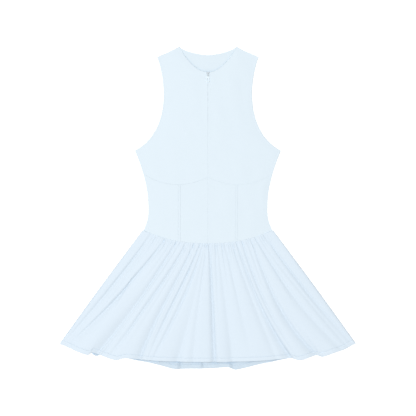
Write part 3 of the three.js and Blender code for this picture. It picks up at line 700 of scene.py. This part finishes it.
def thread_material():
    name = "Sewing thread"
    if name in bpy.data.materials:
        return bpy.data.materials[name]
    material, tree, surface = new_material(name)
    twist = add_node(tree, "TexWave", Vector=object_place(tree), Scale=900.0)
    twist.bands_direction = "DIAGONAL"
    tones = colour_mix(tree, twist.outputs["Fac"], chosen("thread"), chosen("thread", 0.8))
    feed(tree, surface, Base_Color=tones, Roughness=0.5, Specular_IOR_Level=0.3)
    return material


def tape_material():
    name = "Woven zip tape"
    if name in bpy.data.materials:
        return bpy.data.materials[name]
    material, tree, surface = new_material(name)
    weave = add_node(tree, "TexChecker", Vector=object_place(tree), Scale=1500.0,
                     Color1=chosen("tape"), Color2=chosen("tape", 0.78)).outputs
    bump = add_node(tree, "Bump", Distance=0.0001, Height=weave["Fac"])
    feed(tree, surface, Base_Color=weave["Color"], Normal=bump.outputs["Normal"], Roughness=0.8)
    return material


def floor_material():
    material, tree, surface = new_material("Matte paper")
    grain = add_node(tree, "TexNoise", Vector=object_place(tree), Scale=300.0)
    tones = colour_mix(tree, grain.outputs["Fac"], chosen("floor"), chosen("floor", 0.99))
    feed(tree, surface, Base_Color=tones, Roughness=0.9, Specular_IOR_Level=0.1,
         Emission_Color=(1.0, 1.0, 1.0, 1.0), Emission_Strength=0.68)
    return material


def wear_group():
    """Fine scratches and rubbed spots, for the small hard pieces."""
    name = "Light handling wear"
    if name in bpy.data.node_groups:
        return bpy.data.node_groups[name]
    tree, given, end = new_group(
        name, {"Colour": (0.5, 0.5, 0.5, 1), "Worn colour": (0.7, 0.7, 0.7, 1)},
        {"Roughness": 0.35})
    calc = lambda operation, a, b: math_node(tree, operation, a, b)
    place = object_place(tree)
    spots = add_node(tree, "TexNoise", Vector=place, Scale=500.0, Detail=5.0).outputs["Fac"]
    stretch = add_node(tree, "Mapping", Vector=place, Scale=(3000.0, 120.0, 400.0))
    scratches = add_node(tree, "TexNoise", Vector=stretch.outputs["Vector"],
                         Scale=1.0, Detail=3.0).outputs["Fac"]
    worn = calc("MULTIPLY", calc("SUBTRACT", spots, 0.45), 2.5)
    rough = calc("MULTIPLY", calc("SUBTRACT", scratches, 0.5), 0.3)
    feed(tree, end, Colour=colour_mix(tree, worn, given["Colour"], given["Worn colour"]),
         Roughness=calc("ADD", given["Roughness"], rough), Height=scratches)
    return tree


def hard_material(name, tone, worn, roughness, metallic):
    """A hard finish. Worn says how much lighter or darker it is where it is rubbed."""
    if name in bpy.data.materials:
        return bpy.data.materials[name]
    material, tree, surface = new_material(name)
    wear = group_node(tree, wear_group(), Colour=chosen(tone), Worn_colour=chosen(tone, worn),
                      Roughness=roughness)
    bump = add_node(tree, "Bump", Distance=0.00002, Height=wear["Height"])
    feed(tree, surface, Base_Color=wear["Colour"], Roughness=wear["Roughness"],
         Normal=bump.outputs["Normal"], Metallic=metallic, Specular_IOR_Level=0.3)
    return material


def slider_material():
    return hard_material("Slider paint", "slider", 1.3, 0.6, 0.25)


def pull_material():
    return hard_material("Pull paint", "pull", 0.88, 0.6, 0.0)


def coil_material():
    return hard_material("Moulded coil", "coil", 0.9, 0.45, 0.0)


# Hard pieces

def rounded_plate(outlines, thickness, rounding, place):
    """A flat piece with rounded edges, as points and faces in the row's frame, in millimetres."""
    curve = bpy.data.curves.new("plate", "CURVE")
    curve.dimensions = "2D"
    curve.fill_mode = "BOTH"
    curve.offset = -rounding
    curve.extrude = thickness / 2 - rounding
    curve.bevel_depth = rounding
    curve.bevel_resolution = 3
    for outline in outlines:
        spline = curve.splines.new("POLY")
        spline.points.add(len(outline) - 1)
        spline.points.foreach_set("co", [c for x, y in outline for c in (x, y, 0.0, 1.0)])
        spline.use_cyclic_u = True
    holder = bpy.data.objects.new("plate", curve)
    mesh = holder.to_mesh()
    mesh.transform(place)
    points = np.array([v.co[:] for v in mesh.vertices])
    faces = [tuple(p.vertices) for p in mesh.polygons]
    holder.to_mesh_clear()
    bpy.data.objects.remove(holder)
    bpy.data.curves.remove(curve)
    return points, faces


def bezier_run(*corners, steps=10):
    """Points along joined cubic curves. Each item after the first gives two pulls and an end."""
    points, start = [], corners[0]
    for pull_a, pull_b, stop in corners[1:]:
        along = np.linspace(0, 1, steps, endpoint=False)
        points += pattern_curve([start, pull_a, pull_b, stop], along).tolist()
        start = stop
    return points


# Stands a flat plate on its edge: its own X and Y become the dress's Y and Z.
ON_EDGE = Matrix(((0, 0, 1, 0), (1, 0, 0, 0), (0, 1, 0, 0), (0, 0, 0, 1)))


def rectangle(half, end, top):
    return [(-half, end), (half, end), (half, top), (-half, top)]


def slider_heights():
    """The slider's levels, over the cloth that it runs on."""
    cloth_top = float(front_under(0.0, SLIDER_DOWN)) + CLOTH
    plate_low = cloth_top + SEAM
    plate_top = plate_low + SHIELD_THICK
    foot_top = float(front_under(0.0, SLIDER_DOWN)) - 2 * SEAM - TAPE_THICK
    return plate_low, plate_top, foot_top, plate_top + PULL_HINGE_UP


def length_property(name, description, default):
    return FloatProperty(name=name, description=description, default=default, unit="LENGTH")


def colour_property(name, description, default):
    return FloatVectorProperty(name=name, description=description, default=default,
                               size=3, subtype="COLOR")


class DressSizes(bpy.types.PropertyGroup):
    """Sizes that a user would change."""

    cloth: length_property("Cloth thickness", "Thickness of one layer", 0.0012)
    edge_round: length_property("Edge rounding", "Radius of the cloth's free edges", 0.0004)
    seam_round: length_property("Seam rounding", "Radius of the cloth's sewn edges", 0.0001)
    unevenness: length_property("Unevenness", "Height of the soft waves left in the laid cloth", 0.0003)
    gathers: length_property("Gathers", "Height of the small puckers below the waist seam", 0.0005)
    stitch_length: length_property("Stitch length", "Length of one stitch", 0.0026)
    stitch_gap: length_property("Stitch gap", "Gap between two stitches", 0.0009)
    thread: length_property("Thread radius", "Half the thickness of the thread", 0.00017)
    rows: IntProperty(name="Skirt rows", description="Rows of points down each skirt layer",
                      default=84, min=20, max=200)


class DressColours(bpy.types.PropertyGroup):
    """Colours that a user would change."""

    cloth: colour_property("Cloth", "Colour of the knit", (0.628, 0.708, 0.765))
    cloth_shade: colour_property("Cloth shade", "Deeper tone between the loops",
                                 (0.53, 0.635, 0.715))
    # Painted shade: the cool tone that the knit's colour darkens towards in its folds and next to other
    # cloth.
    crease: colour_property("Crease", "Tone that shines through where the cloth closes on itself",
                            (0.33, 0.47, 0.62))
    # Painted shade: a slightly deeper, bluer copy of the cloth colour, for the shade in the skirt's
    # folds.
    skirt: colour_property("Skirt", "Colour of the skirt's knit, a deeper copy of the cloth as painted shade",
                           (0.611, 0.691, 0.766))
    inside: colour_property("Inside", "Colour of the bodice knit's wrong side", (0.63, 0.71, 0.765))
    # Painted shade: the skirt's wrong side is darkened to stand for the shadow that the front hem casts
    # on it.
    skirt_inside_painted_shade: colour_property("Skirt inside", "Colour of the skirt knit's wrong side, darkened as painted shade",
                                  (0.535, 0.625, 0.705))
    thread: colour_property("Thread", "Colour of the sewing thread", (0.575, 0.68, 0.76))
    tape: colour_property("Zip tape", "Colour of the woven tape", (0.4, 0.5, 0.57))
    coil: colour_property("Zip coil", "Colour of the moulded coil", (0.3, 0.38, 0.44))
    slider: colour_property("Slider", "Colour of the slider", (0.43, 0.48, 0.52))
    pull: colour_property("Pull", "Colour of the pull", (0.73, 0.81, 0.86))
    floor: colour_property("Floor", "Colour of the floor", (0.42, 0.42, 0.42))


SIDES = (("left", 1), ("right", -1))


class DRESS_OT_back_bodice(bpy.types.Operator):
    """Lay the upper back panel, which shows its inside in the neck"""

    bl_idname = "zip_dress.back_bodice"
    bl_label = "Back bodice"

    def execute(self, context):
        us, vs = edge_lines(46, 150), edge_lines(110, 460)
        neck_share = NECK[0] / SHOULDER[0]

        def inner(v):
            down = mix(WAIST_CENTRE, BACK_NECK_DOWN, v)
            return np.stack([np.zeros_like(down), down], -1)

        def outer(v):
            side_row = 0.42
            down = mix(WAIST_SIDE, UNDERARM[1], np.minimum(v / side_row, 1))
            side = np.stack([side_half(down), down], -1)
            arm = pattern_curve(ARMHOLE_CURVE, np.clip((1 - v) / (1 - side_row), 0, 1))
            return np.where((v > side_row)[..., None], arm, side)

        def bottom(u):
            half = u * WAIST_HALF
            return np.stack([half, waist_down(half)], -1)

        def top(u):
            neck = pattern_curve(BACK_NECK_CURVE, np.clip(1 - u / neck_share, 0, 1))
            tip = shoulder(np.clip((u - neck_share) / (1 - neck_share), 0, 1))
            return np.where((u > neck_share)[..., None], tip, neck)

        us = merged(us, [neck_share])
        half = patch(inner, outer, bottom, top, us, vs)
        points = np.concatenate([half[:0:-1] * [-1, 1], half])
        piece = cloth_piece("back_bodice_cloth", points[..., 0], points[..., 1],
                            np.full(points.shape[:2], CLOTH), inside_material())
        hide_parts("back_bodice")
        return {"FINISHED"}


class DRESS_OT_front_bust(bpy.types.Operator):
    """Lay the two upper front panels, either side of the zip"""

    bl_idname = "zip_dress.front_bust"
    bl_label = "Upper front"

    def execute(self, context):
        wave = context.scene.dress_sizes.unevenness / MM
        us, vs = edge_lines(44, 130), edge_lines(96, 420)
        vs = merged(vs, [0.2, 0.7])
        points = bust_points(us, vs)
        inner, outer, bottom, top = edge_distances(points)
        for name, side in SIDES:
            x, down = mirrored(points, side)
            z = front_under(points[..., 0], down) + CLOTH
            calm = smoothstep(np.minimum(np.minimum(inner, outer), np.minimum(bottom, top)), 0, 30)
            z = z + wave * ripples(x, down, 3, 95) * calm
            for edge, (height, width) in zip((inner, outer, bottom), BUST_EDGES):
                z = z + turned(edge, height, width)
            at_neck = smoothstep(vs, 0.7, 0.73)
            near_edge = 1 - smoothstep(inner, 0, NECK_LAID_WIDTH)
            z = z - NECK_LAID * near_edge * smoothstep(vs, 0.71, 0.8)
            z = z - NECK_LIP[name] * np.exp(-((inner / NECK_LIP_WIDTH) ** 2)) * at_neck
            piece = cloth_piece(f"front_bust_{name}_cloth", x, down, z, cloth_material())
            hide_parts(f"front_bust_{name}")
        return {"FINISHED"}


class DRESS_OT_midriff(bpy.types.Operator):
    """Lay the midriff: the centre and side panels, and the boned seams with their stitching"""

    bl_idname = "zip_dress.midriff"
    bl_label = "Midriff"

    def execute(self, context):
        wave = context.scene.dress_sizes.unevenness / MM
        inside, outside = CHANNEL_HALF - CHANNEL_WIDTH / 2, CHANNEL_HALF + CHANNEL_WIDTH / 2
        parts = [
            ("centre_front", JOIN / 2, inside - JOIN / 2, edge_lines(18, 68), 0.0),
            ("boning_channel", inside + JOIN / 2, outside - JOIN / 2,
             np.linspace(0, 1, 9), CHANNEL_PROUD),
            ("side_front", outside + JOIN / 2, None, edge_lines(22, 85), 0.0),
        ]
        vs = edge_lines(40, 150)
        for name, side in SIDES:
            for part, start, stop, us, proud in parts:
                points = midriff_points(start, stop, us, vs)
                x, down = mirrored(points, side)
                z = front_under(points[..., 0], down) + CLOTH + proud
                if part == "boning_channel":
                    z = z - proud * 0.9 * (2 * us[:, None] - 1) ** 2
                    lines = [self.channel_line(us, share, x, down, z) for share in (0.17, 0.83)]
                else:
                    edges = edge_distances(points)
                    calm = smoothstep(np.minimum.reduce(edges), 0, 22)
                    z = z + wave * ripples(x, down, 3, 95) * calm
                    for edge, height in zip(edges, MIDRIFF_EDGES):
                        z = z + turned(edge, height, MIDRIFF_TURN)
                piece = cloth_piece(f"{part}_{name}_cloth", x, down, z, cloth_material())
                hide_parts(f"{part}_{name}")
            stitches = add_stitches(f"boning_channel_{name}_stitches", lines)
        return {"FINISHED"}

    @staticmethod
    def channel_line(us, share, x, down, z):
        across = lambda values: np.array([np.interp(share, us, row) for row in values.T])
        return np.stack([across(x), TOP - across(down), across(z) - 0.08], -1)[2:-2]


def skirt_rows(count):
    """Rows down a skirt layer, closer together at the seam, the hem's stitching and its edge."""
    seam = np.array([0.5, 1.2, 2.2, 3.4, 5.0, 7.0]) / SKIRT_LENGTH
    edge = np.array([0.5, 1.2, 2.4, 4.5, 7.0, 8.4, 9.1, HEM_DEPTH, 10.3, 11.0, 12.4])
    return merged(np.linspace(0, 1, count), seam, 1 - edge / SKIRT_LENGTH)


def hem_finish(v):
    """The turned hem: two layers below the stitching, which sinks into a shallow groove."""
    up = (1 - v) * SKIRT_LENGTH
    band = 0.5 * (1 - smoothstep(up, HEM_DEPTH - 0.6, HEM_DEPTH + 0.6))
    groove = -0.4 * np.exp(-(((up - HEM_DEPTH) / 1.0) ** 2))
    return band + groove - 0.35 * np.exp(-((up / 0.9) ** 2))


def hem_line(x, down, z, row, over):
    """The line that the hem's stitches follow, a little over the cloth."""
    return np.stack([x[3:-3, row], TOP - down[3:-3, row], z[3:-3, row] + over], -1)


def puckers(x, v, seed, height):
    """Small gathers just below the waist seam, uneven in length and spacing."""
    share = x / skirt_half(v) * SKIRT_TOP
    wave = np.sin(2 * np.pi * share / 5.1 + 1.7 * np.sin(share / 13.0 + seed))
    length = 0.16 + 0.07 * np.sin(share / 7.3 + seed)
    fade = np.clip(1 - v / length, 0, 1) ** 1.6
    return height * wave * fade * smoothstep(v * SKIRT_LENGTH, 0, 5)


class DRESS_OT_skirt(bpy.types.Operator):
    """Lay the gathered skirt's back and front layers, with their folds and turned hems"""

    bl_idname = "zip_dress.skirt"
    bl_label = "Gathered skirt"

    def execute(self, context):
        sizes = context.scene.dress_sizes
        gathers, wave = sizes.gathers / MM, sizes.unevenness / MM
        vs = skirt_rows(sizes.rows)
        stitched = int(np.argmin(np.abs((1 - vs) * SKIRT_LENGTH - HEM_DEPTH)))

        back_top = lambda x, v, lines: back_skirt_under(x, v, lines) + CLOTH
        columns = skirt_columns(BACK_FOLDS, 4.5, 16)
        x, down, z, v = skirt_grid(BACK_FOLDS, BACK_HEM, back_top, columns, vs)
        z = z + hem_finish(v)
        z = np.maximum(z, CLOTH + 0.02)
        # The back skirt's knit is darkened as painted shade for the front hem's shadow on it.
        back = cloth_piece("back_skirt_cloth", x, down, z, skirt_inside_painted_shade_material(), free_edge=True)
        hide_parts("back_skirt")
        back_stitches = add_stitches("back_hem_stitches", [hem_line(x, down, z, stitched, 0.1)])

        columns = skirt_columns(FRONT_FOLDS, 2.6, 22)
        x, down, z, v = skirt_grid(FRONT_FOLDS, FRONT_HEM, front_skirt_top, columns, vs)
        side = skirt_half(v) - np.abs(x)
        calm = smoothstep(side, 4, 30)
        z = z + puckers(x, v, 1.0, gathers) * calm
        z = z + wave * 0.8 * ripples(x, down, 11, 120) * calm * v
        z = z + hem_finish(v)
        front = cloth_piece("front_skirt_cloth", x, down, z, skirt_material())
        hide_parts("front_skirt")
        front_stitches = add_stitches("front_hem_stitches", [hem_line(x, down, z, stitched, 0.3)])
        return {"FINISHED"}


class DRESS_OT_zip_tape(bpy.types.Operator):
    """Lay the two woven tapes and the closed coil between them"""

    bl_idname = "zip_dress.zip_tape"
    bl_label = "Zip tape and coil"

    def execute(self, context):
        foot = UNDERBUST_CENTRE - SEAM
        vs, us = np.linspace(0, 1, 60), edge_lines(9, TAPE_WIDTH, (0.4, 1.0))
        down = np.broadcast_to(mix(FRONT_NECK_DOWN + SEAM, foot, vs), (len(us), len(vs)))
        half = zip_gap(down) - TAPE_BACK + us[:, None] * TAPE_WIDTH
        z = front_under(0.0 * down, down) - SEAM
        for name, side in SIDES:
            piece = cloth_piece(f"zip_tape_{name}_cloth", side * half, down, z,
                                tape_material())
            piece.modifiers["Cloth thickness"].thickness = TAPE_THICK * MM
            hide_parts(f"zip_tape_{name}")
        parts = []
        for at in np.arange(SLIDER_DOWN + 6, foot - 1, COIL_PITCH):
            low = float(front_under(0.0, at)) - SEAM + COIL_UP
            for lean in (-1, 1):
                start = (-COIL_HALF * lean, TOP - at - lean * COIL_LEAN, low)
                stop = (COIL_HALF * lean, TOP - at + lean * COIL_LEAN, low + COIL_RISE)
                parts.append(stitch(start, stop, COIL_THREAD))
        new_object("zip_coil", joined_mesh("zip_coil", parts), coil_material())
        return {"FINISHED"}


class DRESS_OT_zip_slider(bpy.types.Operator):
    """Build the slider: its shield, the bridge over it, and the post and foot below"""

    bl_idname = "zip_dress.zip_slider"
    bl_label = "Zip slider"

    def execute(self, context):
        plate_low, plate_top, foot_top, _ = slider_heights()
        at = Matrix.Translation((0, TOP - SLIDER_DOWN, 0))
        level = lambda z: at @ Matrix.Translation((0, 0, z))
        tip = [SHIELD_TIP_HALF, SHIELD_TIP]
        edge = bezier_run((SHIELD_HALF, SHIELD_TOP), ((3.9, 3.4), (3.3, -0.8), tip), steps=14)
        edge.append(tip)
        shield = edge + [[-x, y] for x, y in edge[::-1]]
        parts = [rounded_plate([shield], SHIELD_THICK, 0.3, level((plate_low + plate_top) / 2))]
        foot = rectangle(FOOT_HALF, FOOT_END, FOOT_TOP)
        parts.append(rounded_plate([foot], FOOT_THICK, 0.25, level(foot_top - FOOT_THICK / 2)))
        post = rectangle(POST_HALF, POST_END, POST_TOP)
        height = plate_low - foot_top + 2 * POST_SUNK
        parts.append(rounded_plate([post], height, 0.15, level((plate_low + foot_top) / 2)))
        inner, sunk = plate_top + BRIDGE_ROOM, plate_top - BRIDGE_SUNK
        outer, knee = inner + BRIDGE_THICK, inner - 0.4
        upper = [(BRIDGE_TOP, knee), (BRIDGE_TOP, outer - 0.3), (3.2, outer), (1.6, outer)]
        lower = [(-1.2, outer), (-2.8, outer), (BRIDGE_END, outer - 0.3), (BRIDGE_END, knee)]
        bridge = [(BRIDGE_TOP, sunk), (BRIDGE_TOP, knee)]
        bridge += pattern_curve(upper, np.linspace(0.1, 1, 8)).tolist()
        bridge += pattern_curve(lower, np.linspace(0, 0.9, 8)).tolist()
        leg_top, leg_end = BRIDGE_TOP - BRIDGE_THICK, BRIDGE_END + BRIDGE_THICK
        bridge += [(BRIDGE_END, sunk), (leg_end, sunk), (leg_end, inner),
                   (leg_top, inner), (leg_top, sunk)]
        parts.append(rounded_plate([bridge], BRIDGE_WIDTH, 0.3, at @ ON_EDGE))
        mesh = joined_mesh("zip_slider_metal", parts)
        piece = new_object("zip_slider_metal", mesh, slider_material())
        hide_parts("zip_slider")
        return {"FINISHED"}


class DRESS_OT_zip_pull(bpy.types.Operator):
    """Build the teardrop pull that hangs from the slider's bridge"""

    bl_idname = "zip_dress.zip_pull"
    bl_label = "Zip pull"

    def execute(self, context):
        _, _, _, hinge = slider_heights()
        lean = Matrix.Rotation(math.radians(PULL_LEAN), 4, "X")
        place = Matrix.Translation((0, TOP - SLIDER_DOWN, hinge)) @ lean
        half, neck_half, slot_half = PULL_HALF, PULL_NECK_HALF, PULL_SLOT_HALF
        outline = [(-neck_half, PULL_TOP)]
        outline += bezier_run(
            (-neck_half, PULL_NECK), ((-neck_half, -10.2), (-half, -12.5), (-half, PULL_WIDEST)),
            ((-half, PULL_END), (half, PULL_END), (half, PULL_WIDEST)),
            ((half, -12.5), (neck_half, -10.2), (neck_half, PULL_NECK)), steps=14)
        outline += [(neck_half, PULL_NECK), (neck_half, PULL_TOP), (slot_half, PULL_TOP),
                    (slot_half, PULL_SLOT_END), (-slot_half, PULL_SLOT_END), (-slot_half, PULL_TOP)]
        hole = bezier_run((0, -9), ((-1, -10), (-2.6, -12.2), (-2.6, -15.2)),
                          ((-2.6, -18.8), (2.6, -18.8), (2.6, -15.2)),
                          ((2.6, -12.2), (1, -10), (0, -9)), steps=12)
        parts = [rounded_plate([outline, hole], PULL_THICK, 0.4, place)]
        turns = np.linspace(0, 2 * math.pi, 20, endpoint=False)
        pin = (PULL_PIN_RADIUS * np.stack([np.cos(turns), np.sin(turns)], -1)).tolist()
        parts.append(rounded_plate([pin], PULL_PIN_LENGTH, 0.1, place @ ON_EDGE))
        mesh = joined_mesh("zip_pull_tab", parts)
        piece = new_object("zip_pull_tab", mesh, pull_material(), "pull")
        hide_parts("zip_pull")
        return {"FINISHED"}


class DRESS_OT_stage(bpy.types.Operator):
    """Set the pale floor, the soft studio light and the camera above the dress"""

    bl_idname = "zip_dress.stage"
    bl_label = "Stage"

    def execute(self, context):
        scene = context.scene
        mesh = bpy.data.meshes.new("floor")
        mesh.from_pydata([(x, y, -0.0003) for x, y in rectangle(6, -6, 6)], [], [(0, 1, 2, 3)])
        floor = bpy.data.objects.new("floor", mesh)
        scene.collection.objects.link(floor)
        mesh.materials.append(floor_material())

        world = bpy.data.worlds.new("Soft studio")
        world.use_nodes = True
        sky = world.node_tree.nodes["Background"]
        sky.inputs["Color"].default_value = (1.0, 1.0, 1.0, 1.0)
        sky.inputs["Strength"].default_value = 0.3
        scene.world = world
        key = bpy.data.lights.new("key", "AREA")
        key.energy = 700
        key.size = 3.6
        lamp = bpy.data.objects.new("key", key)
        lamp.location = (-1.3, 0.45, 8.2)
        lamp.rotation_euler = (-lamp.location).to_track_quat("-Z", "Y").to_euler()
        scene.collection.objects.link(lamp)

        camera = bpy.data.cameras.new("camera")
        camera.sensor_width = 36
        camera.lens = 104
        view = bpy.data.objects.new("camera", camera)
        view.location = (0.00025, -0.00075, 3.01)
        scene.collection.objects.link(view)
        scene.camera = view
        scene.view_settings.view_transform = "Standard"
        return {"FINISHED"}


STEPS = (
    DRESS_OT_stage,
    DRESS_OT_back_bodice,
    DRESS_OT_zip_tape,
    DRESS_OT_front_bust,
    DRESS_OT_midriff,
    DRESS_OT_skirt,
    DRESS_OT_zip_slider,
    DRESS_OT_zip_pull,
)


class DRESS_PT_panel(bpy.types.Panel):
    """Lists the dress's pieces and sizes"""

    bl_idname = "DRESS_PT_panel"
    bl_label = "Sleeveless zip dress"
    bl_space_type = "VIEW_3D"
    bl_region_type = "UI"
    bl_category = "Dress"

    def draw(self, context):
        for step in STEPS:
            self.layout.operator(step.bl_idname)
        for settings in (context.scene.dress_sizes, context.scene.dress_colours):
            for name in settings.__annotations__:
                self.layout.prop(settings, name)


CLASSES = (DressSizes, DressColours, *STEPS, DRESS_PT_panel)


def register():
    for cls in CLASSES:
        bpy.utils.register_class(cls)
    bpy.types.Scene.dress_sizes = PointerProperty(type=DressSizes)
    bpy.types.Scene.dress_colours = PointerProperty(type=DressColours)


def unregister():
    del bpy.types.Scene.dress_colours
    del bpy.types.Scene.dress_sizes
    for cls in reversed(CLASSES):
        bpy.utils.unregister_class(cls)


def main():
    register()
    for step in STEPS:
        group, name = step.bl_idname.split(".")
        getattr(getattr(bpy.ops, group), name)()


if __name__ == "__main__":
    main()
